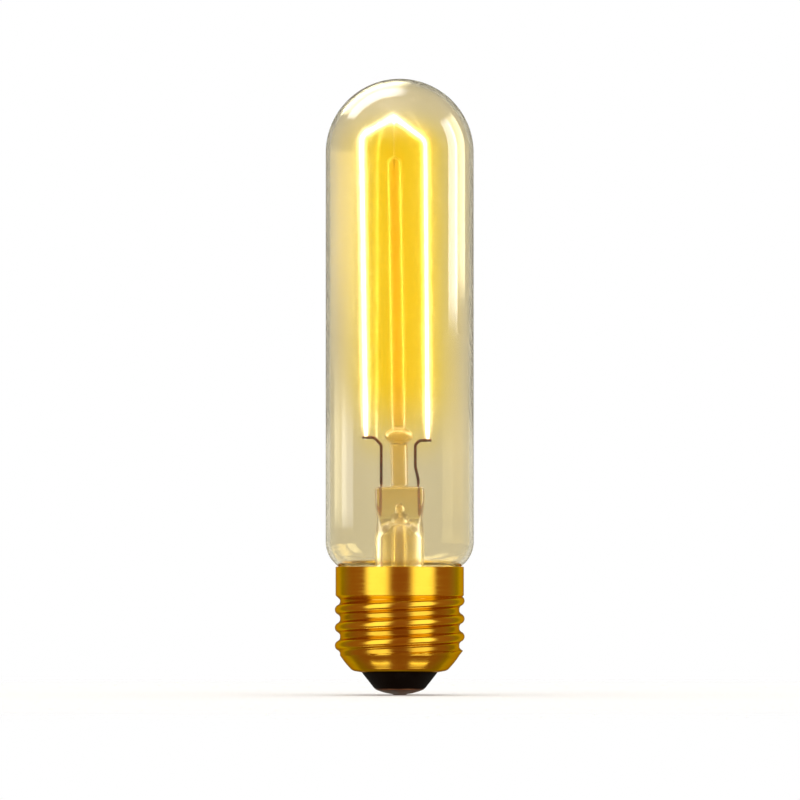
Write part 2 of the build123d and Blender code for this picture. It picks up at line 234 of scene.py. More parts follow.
# glass of the envelope: pale beige, with the filament's glow painted into it as gold
envelopeGlass = {
    "beige": (0.79, 0.73, 0.55, 1),
    # painted glow of the filament, in gold
    "paintedGlowGold": (0.92, 0.73, 0.085, 1),
    "edge": (0.24, 0.22, 0.10, 1),
    "edgeFacing": (0.80, 0.97),
    # where the painted glow lies: between these heights, and within this facing of the middle of the tube
    "zoneBottom": (0.044, 0.066),
    "zoneTop": (0.110, 0.123),
    "facing": (0.01, 0.23),
    "streakScale": 60.0,
    "streakLeast": 0.92,
    "shadowTint": (0.95, 0.88, 0.62, 1),
    "haze": 0.015,
    "glow": [(0.30, 0.27), (0.04, 0.5)],  # share and roughness
    "glowFoot": (0.050, 0.060),
    "glowLeast": 0.1,
    "glowFacing": (0.25, 0.42),
}


def makeEnvelopeGlass():
    s = envelopeGlass
    material, tree, glass = newMaterial("amberGlass")
    place = objectPlace(tree)
    height = axes(tree, place)[2]
    facing = addNode(tree, "ShaderNodeLayerWeight").outputs["Facing"]
    zone = within(tree, height, s["zoneBottom"], s["zoneTop"])
    middle = mapRange(tree, facing, *s["facing"], 1.0, 0.0)
    uneven = noiseFactor(tree, place, s["streakScale"])
    streaks = mapRange(tree, uneven, *evenNoise, s["streakLeast"], 1.0)
    # painted glow: gold between the heights of the filament, in the middle of the tube as seen from the
    # camera, in uneven streaks
    paintedGlowMask = calc(tree, "MULTIPLY", calc(tree, "MULTIPLY", zone, middle), streaks)
    tint = blendColours(tree, paintedGlowMask, s["beige"], s["paintedGlowGold"])
    thick = mapRange(tree, facing, *s["edgeFacing"])  # a long way through the wall
    tint = blendColours(tree, thick, tint, s["edge"])
    tree.links.new(tint, glass.inputs["Base Color"])
    setInputs(glass, Roughness=0.0, IOR=glassIndex, Transmission_Weight=1 - s["haze"])
    surface = glass.outputs[0]
    above = mapRange(tree, height, *s["glowFoot"], s["glowLeast"], 1.0)
    lit = calc(tree, "MULTIPLY", above, mapRange(tree, facing, *s["glowFacing"], 1.0, 0.0))
    onceThrough = setInputs(addNode(tree, "ShaderNodeGamma"), Gamma=0.5)  # half the tint at each face
    tree.links.new(tint, onceThrough.inputs["Color"])
    for amount, roughness in s["glow"]:  # faint lustre that spreads the filament's light
        lustre = setInputs(addNode(tree, "ShaderNodeBsdfRefraction"), Roughness=roughness, IOR=glassIndex)
        tree.links.new(onceThrough.outputs[0], lustre.inputs["Color"])
        surface = mixShaders(tree, calc(tree, "MULTIPLY", lit, amount), surface, lustre.outputs[0])
    letLampsThrough(tree, surface, s["shadowTint"])
    return material


stemGlassLook = {
    # the stem's gold is partly the glass's own tint and partly a painted glow of the filament, deepest up the
    # rod
    "foot": (0.99, 0.86, 0.43, 1),
    "rod": (0.96, 0.71, 0.18, 1),
    "change": (0.034, 0.043),
    "shadowTint": (0.97, 0.94, 0.84, 1),
    "haze": 0.13,
    "waveScale": 320.0,
    "wave": 0.07,
    "waveDepth": 0.0006,
    "shine": (2.0, 0.34),  # index and roughness of the fire-polished skin
}


def makeStemGlass():
    s = stemGlassLook
    material, tree, glass = newMaterial("stemGlass")
    place = objectPlace(tree)
    # painted glow: deeper gold from the press up the rod, towards the filament
    paintedRodGlow = mapRange(tree, axes(tree, place)[2], *s["change"])
    tree.links.new(blendColours(tree, paintedRodGlow, s["foot"], s["rod"]), glass.inputs["Base Color"])
    setInputs(glass, Roughness=0.0, IOR=glassIndex, Transmission_Weight=1 - s["haze"])
    setInputs(glass, Coat_Weight=1.0, Coat_IOR=s["shine"][0], Coat_Roughness=s["shine"][1])
    addBump(tree, noiseFactor(tree, place, s["waveScale"], 1.0), s["wave"], s["waveDepth"], glass)
    letLampsThrough(tree, glass.outputs[0], s["shadowTint"])
    return material


filamentLook = {
    "cold": (0.12, 0.10, 0.08, 1),
    "roughness": 0.4,
    "glow": (1.0, 0.93, 1.0, 1),
    "strength": (2.5, 100.0),  # at the feet and above them
    "feet": (0.0515, 0.0590),
}


def makeFilamentGlow():
    s = filamentLook
    material, tree, wire = newMaterial("glowingFilament")
    setInputs(wire, Base_Color=s["cold"], Metallic=1.0, Roughness=s["roughness"], Emission_Color=s["glow"])
    height = axes(tree, objectPlace(tree))[2]
    tree.links.new(mapRange(tree, height, *s["feet"], *s["strength"]), wire.inputs["Emission Strength"])
    return material


brassLook = {
    "bright": (0.77, 0.53, 0.045, 1),
    "warm": (0.74, 0.48, 0.034, 1),
    "tarnish": (0.45, 0.25, 0.018, 1),
    "edge": (0.95, 0.54, 0.08, 1),
    "roughness": (0.10, 0.24),
    "rollLines": (0.9, 2600.0),  # round the cap and along it
    "patchScale": 140.0,
    "rootRadius": (0.01205, 0.01285),
    "threadTop": (0.0195, 0.0212),
    "dirt": (0.25, 0.6),
    "grain": 0.12,
}


def makeBrass():
    s = brassLook
    material, tree, metal = newMaterial("rolledBrass")
    lines, radius, height = aroundPlace(tree, *s["rollLines"])
    rolled = noiseFactor(tree, lines, 1.0, 4.0)
    patches = noiseFactor(tree, objectPlace(tree), s["patchScale"], 4.0)
    deep = mapRange(tree, radius, *s["rootRadius"], 1.0, 0.0)
    roots = calc(tree, "MULTIPLY", deep, mapRange(tree, height, *s["threadTop"], 1.0, 0.0))
    dirt = calc(tree, "MULTIPLY", roots, mapRange(tree, patches, *evenNoise, *s["dirt"]))
    body = blendColours(tree, mapRange(tree, patches, *crispNoise), s["bright"], s["warm"])
    tree.links.new(blendColours(tree, dirt, body, s["tarnish"]), metal.inputs["Base Color"])
    tree.links.new(mapRange(tree, rolled, *softNoise, *s["roughness"]), metal.inputs["Roughness"])
    setInputs(metal, Metallic=1.0, Specular_Tint=s["edge"])
    addBump(tree, rolled, s["grain"], grainDepth, metal)
    return material


def makePlainFinish(name, settings):
    # a worn finish: two colours, uneven roughness and a fine grain
    s = settings
    material, tree, base = newMaterial(name)
    place = objectPlace(tree)
    patches = noiseFactor(tree, place, s["scale"], 5.0)
    tint = blendColours(tree, mapRange(tree, patches, *crispNoise), s["first"], s["second"])
    tree.links.new(tint, base.inputs["Base Color"])
    tree.links.new(mapRange(tree, patches, *evenNoise, *s["roughness"]), base.inputs["Roughness"])
    setInputs(base, Metallic=s["metallic"], Specular_IOR_Level=s["gloss"])
    addBump(tree, noiseFactor(tree, place, s["scale"] * 4), s["grain"], grainDepth, base)
    return material


wireFinish = {
    "first": (0.060, 0.007, 0.001, 1),
    "second": (0.12, 0.016, 0.003, 1),
    "roughness": (0.3, 0.55),
    "metallic": 1.0,
    "gloss": 0.5,
    "scale": 700.0,
    "grain": 0.2,
}
copperFinish = dict(wireFinish, first=(0.22, 0.07, 0.03, 1), second=(0.42, 0.16, 0.07, 1))
hookFinish = dict(wireFinish, first=(0.30, 0.24, 0.16, 1), second=(0.50, 0.40, 0.26, 1))
# painted glow at the top of the hook: its heights and its strength
hookPaintedGlow = {"glowHeights": (0.1155, 0.1172), "strength": 30.0}


def makeHookWire():
    # drawn wire, with a painted glow at its top where it holds the filament
    material = makePlainFinish("drawnHookWire", hookFinish)
    tree = material.node_tree
    wire = setInputs(tree.nodes["Principled BSDF"], Emission_Color=filamentLook["glow"])
    height = axes(tree, objectPlace(tree))[2]
    paintedHookGlow = mapRange(tree, height, *hookPaintedGlow["glowHeights"], 0.0, hookPaintedGlow["strength"])
    tree.links.new(paintedHookGlow, wire.inputs["Emission Strength"])
    return material


contactFinish = {
    "first": (0.085, 0.035, 0.016, 1),
    "second": (0.18, 0.08, 0.035, 1),
    "roughness": (0.3, 0.5),
    "metallic": 1.0,
    "gloss": 0.5,
    "scale": 500.0,
    "grain": 0.2,
}
solderFinish = dict(contactFinish, first=(0.16, 0.13, 0.11, 1), second=(0.34, 0.30, 0.27, 1))
cementFinish = {
    "first": (0.42, 0.37, 0.30, 1),
    "second": (0.60, 0.54, 0.45, 1),
    "roughness": (0.75, 0.95),
    "metallic": 0.0,
    "gloss": 0.3,
    "scale": 600.0,
    "grain": 0.6,
}
blackGlassFinish = {
    "first": (0.002, 0.0016, 0.0014, 1),
    "second": (0.006, 0.0045, 0.0035, 1),
    "roughness": (0.45, 0.65),
    "metallic": 0.0,
    "gloss": 0.1,
    "scale": 300.0,
    "grain": 0.15,
}

amberGlass = makeEnvelopeGlass()
stemGlass = makeStemGlass()
filamentGlow = makeFilamentGlow()
brass = makeBrass()
leadWire = makePlainFinish("oxidisedLead", wireFinish)
copperWire = makePlainFinish("oxidisedCopper", copperFinish)
hookWire = makeHookWire()
contactMetal = makePlainFinish("tarnishedContact", contactFinish)
solderMetal = makePlainFinish("dullSolder", solderFinish)
cementFill = makePlainFinish("cappingCement", cementFinish)
blackGlass = makePlainFinish("mouldedBlackGlass", blackGlassFinish)
print("materials made:", len(bpy.data.materials))


# blown envelope: crown, tube, shoulder, throat and neck with an even wall
envelope = {
    "top": 125.0,
    "radius": 15.0,
    "wall": 0.8,
    "rimHeight": 26.0,
    "rimRadius": 12.35,
    "slope": 55.0,
    "neckRadius": 10.954,
    "neckEnd": 12.0,
    "steps": 144,
}


def envelopeOutline(inset):
    e = envelope
    run = 1 - math.cos(math.radians(e["slope"]))
    shoulder = (e["radius"] - e["rimRadius"]) / run
    throat = (e["rimRadius"] - e["neckRadius"]) / run
    rise = math.sin(math.radians(e["slope"]))
    shoulderTop = e["rimHeight"] + shoulder * rise
    throatEnd = e["rimHeight"] - throat * rise
    crownCentre = e["top"] - e["radius"]
    crown = arcPoints((0, crownCentre), e["radius"] - inset, 90, 0, 48)
    crown[0] = (0, e["top"] - inset)
    tube = runPoints(crown[-1], (e["radius"] - inset, shoulderTop), 24)
    bend = arcPoints((e["radius"] - shoulder, shoulderTop), shoulder - inset, 0, -e["slope"], 18)
    flare = arcPoints((e["neckRadius"] + throat, throatEnd), throat + inset, 180 - e["slope"], 180, 12)
    return crown + tube + bend + flare[1:] + [(e["neckRadius"] - inset, e["neckEnd"])]


def envelopeMesh():
    outline = envelopeOutline(0) + envelopeOutline(envelope["wall"])[::-1]
    return turnedMesh("blownEnvelope", outline, envelope["steps"])


addPiece("blownEnvelope", envelopeMesh(), amberGlass, ["glass_envelope"])
print("envelope blown")


# stem: trumpet, tube and the pinched press, hollow up to the press, with the exhaust tube inside
exhaust = {"radius": 1.8, "wall": 0.8, "tip": 12.4, "top": 36.6, "steps": 48}
stem = {
    "tubeRadius": 5.0,
    "wall": 0.8,
    "top": 42.2,
    "halfWidth": 5.15,
    "halfDepth": 2.3,
    "rounding": 0.8,
    "waist": 4.7,
    "waistRise": 3.0,  # from the waist up to the full width
    "pinchBottom": 32.5,
    "pinchTop": 36.0,
    "pinchLead": 2.0,  # the first ring stands this far below the pinch
    "pinchStep": 0.25,
    "jawStart": 5.8,
    "jawLead": 0.6,
    "jawCorner": 14,  # higher is sharper
    "lumps": 0.10,
    "lumpLead": 1.5,
    "lumpPlace": (3, 0.45),  # round the press and up it
    "domeDrop": 1.0,
    "domeFlat": 0.8,
    "socketGap": 0.03,
    "socketStep": 0.1,
    "boreRadius": 1.0,
    "boreTop": 38.9,
    "steps": 96,
}


def ease(value, start, end):
    t = min(max((value - start) / (end - start), 0.0), 1.0)
    return t * t * (3 - 2 * t)


def pressRing(height):
    # round tube below, squeezed between two jaws above
    s = stem
    over = max(height - (s["top"] - s["rounding"]), 0.0)
    inset = s["rounding"] - math.sqrt(max(s["rounding"] ** 2 - over**2, 0.0))
    narrowing = ease(height, s["pinchBottom"], s["pinchTop"])
    widening = ease(height, s["pinchTop"], s["pinchTop"] + s["waistRise"])
    closing = ease(height, s["pinchBottom"] - s["jawLead"], s["pinchTop"])
    squeeze = ease(height, s["pinchBottom"] - s["lumpLead"], s["pinchTop"])
    width = s["tubeRadius"] + (s["waist"] - s["tubeRadius"]) * narrowing
    width += (s["halfWidth"] - s["waist"]) * widening - inset
    depth = s["jawStart"] + (s["halfDepth"] - s["jawStart"]) * closing - inset
    power = s["jawCorner"]
    around, up = s["lumpPlace"]
    points = []
    for k in range(s["steps"]):
        angle = fullTurn * k / s["steps"]
        x, y = math.cos(angle), math.sin(angle)
        jaw = depth / max(abs(y), 1e-4)
        radius = (width**-power + jaw**-power) ** (-1 / power) if squeeze > 0 else width
        lump = noise.noise(Vector((around * x, around * y, height * up)))
        radius -= s["lumps"] * squeeze * (1 + lump)
        points.append((radius * x, radius * y, height))
    return points


def pressLevels():
    # heights of the rings: even up the pinch, closer round the top edge
    s = stem
    start = s["pinchBottom"] - s["pinchLead"]
    count = math.ceil((s["top"] - s["rounding"] - start) / s["pinchStep"])
    even = [start + s["pinchStep"] * k for k in range(count)]
    return even + [s["top"] - s["rounding"] * (1 - math.sin(math.radians(9 * k))) for k in range(11)]


def stemMesh():
    s = stem
    neckRadius, neckEnd = envelope["neckRadius"], envelope["neckEnd"]
    levels = pressLevels()
    rings = [[(0, 0, s["top"])]]
    rings += [pressRing(h) for h in reversed(levels)]
    sweep = neckRadius - envelope["wall"] - s["tubeRadius"]
    centre = (s["tubeRadius"] + sweep, neckEnd + sweep)
    trumpet = arcPoints(centre, sweep, 180, 270, 16)
    body = runPoints((s["tubeRadius"], levels[0]), trumpet[0], 14) + trumpet
    body += [(neckRadius, neckEnd), (neckRadius, neckEnd - s["wall"])]
    bore = s["tubeRadius"] - s["wall"]
    springing = s["pinchBottom"] - s["domeDrop"]
    mouth = arcPoints(centre, sweep + s["wall"], 270, 180, 16)
    hollow = mouth + runPoints(mouth[-1], (bore, springing), 10)
    domed = arcPoints((0, springing), bore, 0, 60, 10)
    hollow += [(r, springing + (h - springing) * s["domeFlat"]) for r, h in domed]
    socket = exhaust["radius"] + s["socketGap"]
    socketTop = exhaust["top"] + s["socketGap"]
    hollow += [(socket, hollow[-1][1] + s["socketStep"]), (socket, socketTop), (s["boreRadius"], socketTop)]
    passage = arcPoints((0, s["boreTop"] - s["boreRadius"]), s["boreRadius"], 0, 90, 10)
    passage[-1] = (0, s["boreTop"])
    rings += turnedRings(body + hollow + passage, s["steps"])
    return ringMesh("pinchedStem", rings)


addPiece("pinchedStem", stemMesh(), stemGlass, ["stem_flare"])


def exhaustMesh():
    e = exhaust
    bore = e["radius"] - e["wall"]
    outer = arcPoints((0, e["tip"] + e["radius"]), e["radius"], -90, 0, 12)
    inner = arcPoints((0, e["tip"] + e["radius"]), bore, 0, -90, 12)
    outer[0] = (0, e["tip"])
    inner[-1] = (0, e["tip"] + e["wall"])
    walls = runPoints(outer[-1], (e["radius"], e["top"]), 12) + [(e["radius"], e["top"]), (bore, e["top"])]
    return turnedMesh("tippedExhaust", outer + walls + runPoints(walls[-1], inner[0], 12) + inner, e["steps"])


addPiece("tippedExhaust", exhaustMesh(), stemGlass, ["exhaust_tube"])


rod = {
    "footGap": 0.02,
    "top": 109.2,
    "baseRadius": 1.75,
    "radius": 1.5,
    "footFlare": 0.5,
    "buttonHeight": 10.3,
    "buttonRadius": 2.9,
    "buttonThick": 2.9,
    "buttonShape": 0.75,  # lower is squarer
    "lean": 0.95,
    "steps": 64,
}


def rodMesh():
    r = rod
    foot = stem["top"] + r["footGap"]
    length = (r["top"] - foot) / math.cos(math.radians(r["lean"]))
    half = r["buttonThick"] / 2
    flare = arcPoints((r["baseRadius"] + r["footFlare"], r["footFlare"]), r["footFlare"], 270, 180, 8)
    below = (r["baseRadius"], r["buttonHeight"] - half)
    above = (r["radius"], r["buttonHeight"] + half)
    button = []
    for k in range(25):  # melted ring
        t = k / 24
        swell = math.sin(math.pi * t) ** r["buttonShape"]
        core = below[0] + (above[0] - below[0]) * t
        button.append((core + (r["buttonRadius"] - core) * swell, below[1] + (above[1] - below[1]) * t))
    end = arcPoints((0, length - r["radius"]), r["radius"], 0, 90, 12)
    end[-1] = (0, length)
    outline = [(0, 0)] + flare + runPoints(flare[-1], below, 10) + button + runPoints(above, end[0], 60) + end
    mesh = turnedMesh("leaningRod", outline, r["steps"])
    lean = Matrix.Rotation(math.radians(-r["lean"]), 4, "Y")
    mesh.transform(Matrix.Translation((0, 0, foot * mm)) @ lean)
    return mesh


addPiece("leaningRod", rodMesh(), stemGlass, ["support_rod"])
print("stem, exhaust tube and rod made")


# small tools for geometry nodes
def newTree(name, inputs):
    tree = bpy.data.node_groups.new(name, "GeometryNodeTree")
    tree.interface.new_socket("Geometry", in_out="INPUT", socket_type="NodeSocketGeometry")
    for label, kind in inputs.items():
        tree.interface.new_socket(label, in_out="INPUT", socket_type=kind)
    tree.interface.new_socket("Geometry", in_out="OUTPUT", socket_type="NodeSocketGeometry")
    return tree, addNode(tree, "NodeGroupInput").outputs, addNode(tree, "NodeGroupOutput").inputs[0]


def closeTree(tree, geometry, material, result):
    real = addNode(tree, "GeometryNodeRealizeInstances")
    finish = addNode(tree, "GeometryNodeSetMaterial")
    tree.links.new(geometry, real.inputs[0])
    tree.links.new(real.outputs[0], finish.inputs["Geometry"])
    tree.links.new(material, finish.inputs["Material"])
    tree.links.new(finish.outputs[0], result)


def grownMesh(name, source, tree, values):
    # runs a tree on an object and keeps the result as a plain mesh
    bpy.context.scene.collection.objects.link(source)
    modifier = source.modifiers.new("grow", "NODES")
    modifier.node_group = tree
    for item in tree.interface.items_tree:
        if item.in_out == "INPUT" and item.name in values:
            modifier[item.identifier] = values[item.name]
    depsgraph = bpy.context.evaluated_depsgraph_get()
    mesh = bpy.data.meshes.new_from_object(source.evaluated_get(depsgraph), depsgraph=depsgraph)
    mesh.name = name
    bpy.data.objects.remove(source)
    return mesh


# filament: one hairpin of fine coiled wire, its ends on the flats of the leads
filament = {
    "route": [(-6.85, 51.9), (-7.75, 113.65), (-1.111, 117.25), (5.2, 112.55), (5.7, 51.3)],
    "bends": [0.0, 2.2, 1.5, 2.2, 0.0],
    "depth": 0.5,
    "coilRadius": 0.32,
    "wireRadius": 0.08,
    "pitch": 0.34,
    "pointsPerTurn": 12,
    "wireSides": 6,
    "bendSteps": 12,
}


def coilTree():
    sizes = ["Coil Radius", "Wire Radius", "Pitch", "Step"]
    inputs = {label: "NodeSocketFloat" for label in sizes}
    tree, given, result = newTree("coiledWire", dict(inputs, Material="NodeSocketMaterial"))
    fillet = addNode(tree, "GeometryNodeFilletCurve", mode="POLY")
    fillet.inputs["Count"].default_value = filament["bendSteps"]
    tree.links.new(given["Geometry"], fillet.inputs["Curve"])
    tree.links.new(addNode(tree, "GeometryNodeInputRadius").outputs[0], fillet.inputs["Radius"])
    even = addNode(tree, "GeometryNodeResampleCurve", mode="LENGTH")
    tree.links.new(fillet.outputs[0], even.inputs["Curve"])
    tree.links.new(given["Step"], even.inputs["Length"])
    along = addNode(tree, "GeometryNodeSplineParameter").outputs["Length"]
    turn = calc(tree, "MULTIPLY", calc(tree, "DIVIDE", along, given["Pitch"]), fullTurn)
    normal = addNode(tree, "GeometryNodeInputNormal").outputs[0]
    tangent = addNode(tree, "GeometryNodeInputTangent").outputs[0]
    across = addNode(tree, "ShaderNodeVectorMath", operation="CROSS_PRODUCT")
    tree.links.new(tangent, across.inputs[0])
    tree.links.new(normal, across.inputs[1])
    offsets = []
    for direction, wave in ((normal, "COSINE"), (across.outputs[0], "SINE")):
        scaled = addNode(tree, "ShaderNodeVectorMath", operation="SCALE")
        tree.links.new(direction, scaled.inputs[0])
        reach = calc(tree, "MULTIPLY", calc(tree, wave, turn), given["Coil Radius"])
        tree.links.new(reach, scaled.inputs["Scale"])
        offsets.append(scaled.outputs[0])
    offset = addNode(tree, "ShaderNodeVectorMath", operation="ADD")
    tree.links.new(offsets[0], offset.inputs[0])
    tree.links.new(offsets[1], offset.inputs[1])
    wind = addNode(tree, "GeometryNodeSetPosition")
    tree.links.new(even.outputs[0], wind.inputs["Geometry"])
    tree.links.new(offset.outputs[0], wind.inputs["Offset"])
    level = addNode(tree, "GeometryNodeSetCurveRadius")  # the route's radius was for its bends
    level.inputs["Radius"].default_value = 1.0
    tree.links.new(wind.outputs[0], level.inputs["Curve"])
    section = addNode(tree, "GeometryNodeCurvePrimitiveCircle")
    section.inputs["Resolution"].default_value = filament["wireSides"]
    tree.links.new(given["Wire Radius"], section.inputs["Radius"])
    tube = addNode(tree, "GeometryNodeCurveToMesh")
    tube.inputs["Fill Caps"].default_value = True
    tree.links.new(level.outputs[0], tube.inputs["Curve"])
    tree.links.new(section.outputs[0], tube.inputs["Profile Curve"])
    closeTree(tree, tube.outputs[0], given["Material"], result)
    return tree


def filamentMesh():
    f = filament
    curve = bpy.data.curves.new("hairpinRoute", "CURVE")
    curve.dimensions = "3D"
    spline = curve.splines.new("POLY")
    spline.points.add(len(f["route"]) - 1)
    for point, (x, z), bend in zip(spline.points, f["route"], f["bends"]):
        point.co = (x * mm, f["depth"] * mm, z * mm, 1)
        point.radius = bend * mm
    values = {
        "Coil Radius": f["coilRadius"] * mm,
        "Wire Radius": f["wireRadius"] * mm,
        "Pitch": f["pitch"] * mm,
        "Step": f["pitch"] * mm / f["pointsPerTurn"],
        "Material": filamentGlow,
    }
    route = bpy.data.objects.new("hairpinRoute", curve)
    mesh = grownMesh("coiledFilament", route, coilTree(), values)
    mesh.shade_smooth()
    return mesh


addPiece("coiledFilament", filamentMesh(), filamentGlow, ["filament"])
print("filament wound")


# screw shell: a turned blank with the round thread rolled into it
shell = {
    "crest": 13.15,
    "pitch": 3.629,
    "rounding": 1.025,
    "land": 12.10,
    "crestHeight": 13.65,
    "skirtRadius": 13.0,
    "skirtBottom": 20.2,
    "rimRounding": 0.14,
    "wall": 0.3,
    "boreGap": 0.046,
    "wide": 13.3,
    "fade": 1.8,
    "blend": 0.1,
    "footCorner": (9.7, 4.95),
    "footAngle": 38.0,
    "footRounding": 1.8,
    "footSwell": 0.08,
    "lip": (7.7, 4.6),
    "sharpAngle": 50,
    "steps": 192,
    "rows": 150,
}
threadInputs = {  # the tree's inputs and their settings
    "Crest Radius": "crest",
    "Pitch": "pitch",
    "Rounding": "rounding",
    "Land Radius": "land",
    "Crest Height": "crestHeight",
    "Skirt Radius": "skirtRadius",
    "Skirt Bottom": "skirtBottom",
}


def threadTree():
    inputs = {label: "NodeSocketFloat" for label in threadInputs}
    tree, given, result = newTree("rolledThread", dict(inputs, Material="NodeSocketMaterial"))
    place = addNode(tree, "GeometryNodeInputPosition").outputs[0]
    x, y, z = axes(tree, place)
    radius = fromAxis(tree, x, y)
    turns = calc(tree, "SUBTRACT", calc(tree, "DIVIDE", calc(tree, "ARCTAN2", y, x), fullTurn), 0.5)
    climb = calc(tree, "ADD", given["Crest Height"], calc(tree, "MULTIPLY", turns, given["Pitch"]))
    half = calc(tree, "MULTIPLY", given["Pitch"], 0.5)
    away = calc(tree, "WRAP", calc(tree, "SUBTRACT", z, climb), half, calc(tree, "MULTIPLY", half, -1.0))
    fromCrest = calc(tree, "ABSOLUTE", away)
    fromRoot = calc(tree, "SUBTRACT", half, fromCrest)
    square = calc(tree, "MULTIPLY", given["Rounding"], given["Rounding"])

    def arcHeight(distance):
        left = calc(tree, "SUBTRACT", square, calc(tree, "MULTIPLY", distance, distance))
        return calc(tree, "SQRT", calc(tree, "MAXIMUM", left, 0.0))

    crestCentre = calc(tree, "SUBTRACT", given["Crest Radius"], given["Rounding"])
    quarter = calc(tree, "MULTIPLY", half, 0.5)
    rootCentre = calc(tree, "ADD", crestCentre, calc(tree, "MULTIPLY", arcHeight(quarter), 2.0))
    crestArc = calc(tree, "ADD", crestCentre, arcHeight(fromCrest))
    rootArc = calc(tree, "SUBTRACT", rootCentre, arcHeight(fromRoot))
    pick = addNode(tree, "GeometryNodeSwitch", input_type="FLOAT")
    tree.links.new(calc(tree, "LESS_THAN", fromCrest, quarter), pick.inputs["Switch"])
    tree.links.new(rootArc, pick.inputs["False"])
    tree.links.new(crestArc, pick.inputs["True"])
    thread = calc(tree, "MAXIMUM", pick.outputs[0], given["Land Radius"])
    below = calc(tree, "MAXIMUM", calc(tree, "SUBTRACT", given["Skirt Bottom"], z), 0.0)
    runOut = calc(tree, "SUBTRACT", given["Skirt Radius"], below)
    form = calc(tree, "SMOOTH_MAX", thread, runOut, shell["blend"] * mm)
    scale = calc(tree, "DIVIDE", calc(tree, "MINIMUM", radius, form), radius)
    rolled = addNode(tree, "ShaderNodeCombineXYZ")
    tree.links.new(calc(tree, "MULTIPLY", x, scale), rolled.inputs[0])
    tree.links.new(calc(tree, "MULTIPLY", y, scale), rolled.inputs[1])
    tree.links.new(z, rolled.inputs[2])
    press = addNode(tree, "GeometryNodeSetPosition")
    tree.links.new(given["Geometry"], press.inputs["Geometry"])
    tree.links.new(rolled.outputs[0], press.inputs["Position"])
    closeTree(tree, press.outputs[0], given["Material"], result)
    return tree


def footPoints(inset):
    # lip, rounded corner and cone, moved inwards by inset
    s = shell
    cone = math.radians(90 - s["footAngle"])
    lipAngle = math.atan2(s["footCorner"][1] - s["lip"][1], s["footCorner"][0] - s["lip"][0])
    radius = s["footRounding"]
    reach = radius * math.tan((cone - lipAngle) / 2)
    start = (s["footCorner"][0] - reach * math.cos(lipAngle), s["footCorner"][1] - reach * math.sin(lipAngle))
    centre = (start[0] - radius * math.sin(lipAngle), start[1] + radius * math.cos(lipAngle))
    bend = arcPoints(centre, radius - inset, math.degrees(lipAngle) - 90, math.degrees(cone) - 90, 10)
    lip = (s["lip"][0], s["lip"][1] + inset / math.cos(lipAngle))
    return [lip] + runPoints(lip, bend[0], 4) + bend


def shellBlank():
    s = shell
    lean = math.radians(s["footAngle"])
    slope = 1 / math.tan(lean)
    outer = footPoints(0)
    start = outer[-1]
    wideStart = (s["wide"], start[1] + (s["wide"] - start[0]) * slope)
    for r, z in runPoints(start, wideStart, s["rows"] // 4) + [wideStart]:
        along = (r - start[0]) / (s["land"] - start[0])
        swell = s["footSwell"] * max(math.sin(math.pi * along), 0)
        outer.append((r + swell * math.cos(lean), z - swell * math.sin(lean)))
    fadeStart = (s["wide"], s["skirtBottom"] - s["fade"])
    skirtStart = (s["skirtRadius"], s["skirtBottom"])
    outer += runPoints(outer[-1], fadeStart, s["rows"]) + [fadeStart]
    outer += runPoints(fadeStart, skirtStart, 20) + [skirtStart]
    edge = s["rimRounding"]
    edgeHeight = envelope["rimHeight"] - edge
    bend = arcPoints((s["skirtRadius"] - edge, edgeHeight), edge, 0, 90, 5)
    outer += runPoints(skirtStart, bend[0], 24) + bend
    inside = s["skirtRadius"] - s["wall"]
    bore = s["land"] - s["wall"] - s["boreGap"]
    inner = arcPoints((inside + edge, edgeHeight), edge, 90, 180, 5)
    inner += [(inside, s["skirtBottom"] + s["wall"]), (bore, s["skirtBottom"] - s["wall"])]
    foot = footPoints(s["wall"])[::-1]
    inner += [(bore, foot[0][1] + (bore - foot[0][0]) * slope)] + foot
    return turnedMesh("shellBlank", outer + inner, s["steps"], closed=True)


def shellMesh():
    values = {label: shell[key] * mm for label, key in threadInputs.items()}
    values["Material"] = brass
    blank = bpy.data.objects.new("shellBlank", shellBlank())
    mesh = grownMesh("threadedShell", blank, threadTree(), values)
    sharpen(mesh, shell["sharpAngle"])
    return mesh


addPiece("threadedShell", shellMesh(), brass, ["screw_shell"])
print("thread rolled")


# foot of the cap: black glass, contact and solder
insulator = {
    "tip": (5.1, 1.3),
    "tipRounding": 0.35,
    "lipGap": 0.02,  # clear of the brass
    "lipRise": 0.34,
    "bend": (9.3, 5.4),
    "fill": (10.5, 7.3),
    "holeRadius": 1.15,
    "cupRadius": 3.85,
    "sharpAngle": 40,
    "steps": 96,
}


def roundedCorner(before, corner, after, radius, count=6):
    a = (Vector(before) - Vector(corner)).normalized()
    b = (Vector(after) - Vector(corner)).normalized()
    reach = radius / math.tan(a.angle(b) / 2)
    first, last = Vector(corner) + a * reach, Vector(corner) + b * reach
    points = []
    for k in range(count + 1):
        t = k / count
        points.append(tuple((1 - t) ** 2 * first + 2 * t * (1 - t) * Vector(corner) + t * t * last))
    return points


def insulatorMesh():
    s = insulator
    tip, lip, fill = s["tip"], shell["lip"], s["fill"]
    inside = lip[0] - s["lipGap"]
    outline = [(s["holeRadius"], tip[1])]
    outline += roundedCorner((0, tip[1]), tip, lip, s["tipRounding"])
    outline += runPoints(tip, lip, 6)[1:] + [(inside, lip[1]), (inside, lip[1] + s["lipRise"])]
    outline += [s["bend"], fill, (s["cupRadius"], fill[1]), (s["holeRadius"], lip[1])]
    mesh = turnedMesh("blackInsulator", outline, s["steps"], closed=True)
    sharpen(mesh, s["sharpAngle"])
    return mesh


contact = {
    "radius": 4.95,
    "low": 0.1,
    "edgeHeight": 1.15,
    "edgeRounding": 0.05,
    "seatGap": 0.01,  # just under the black glass
    "eyeletRadius": 1.13,
    "eyeletBore": 0.85,
    "eyeletTop": 3.5,
    "sharpAngle": 40,
    "steps": 96,
}


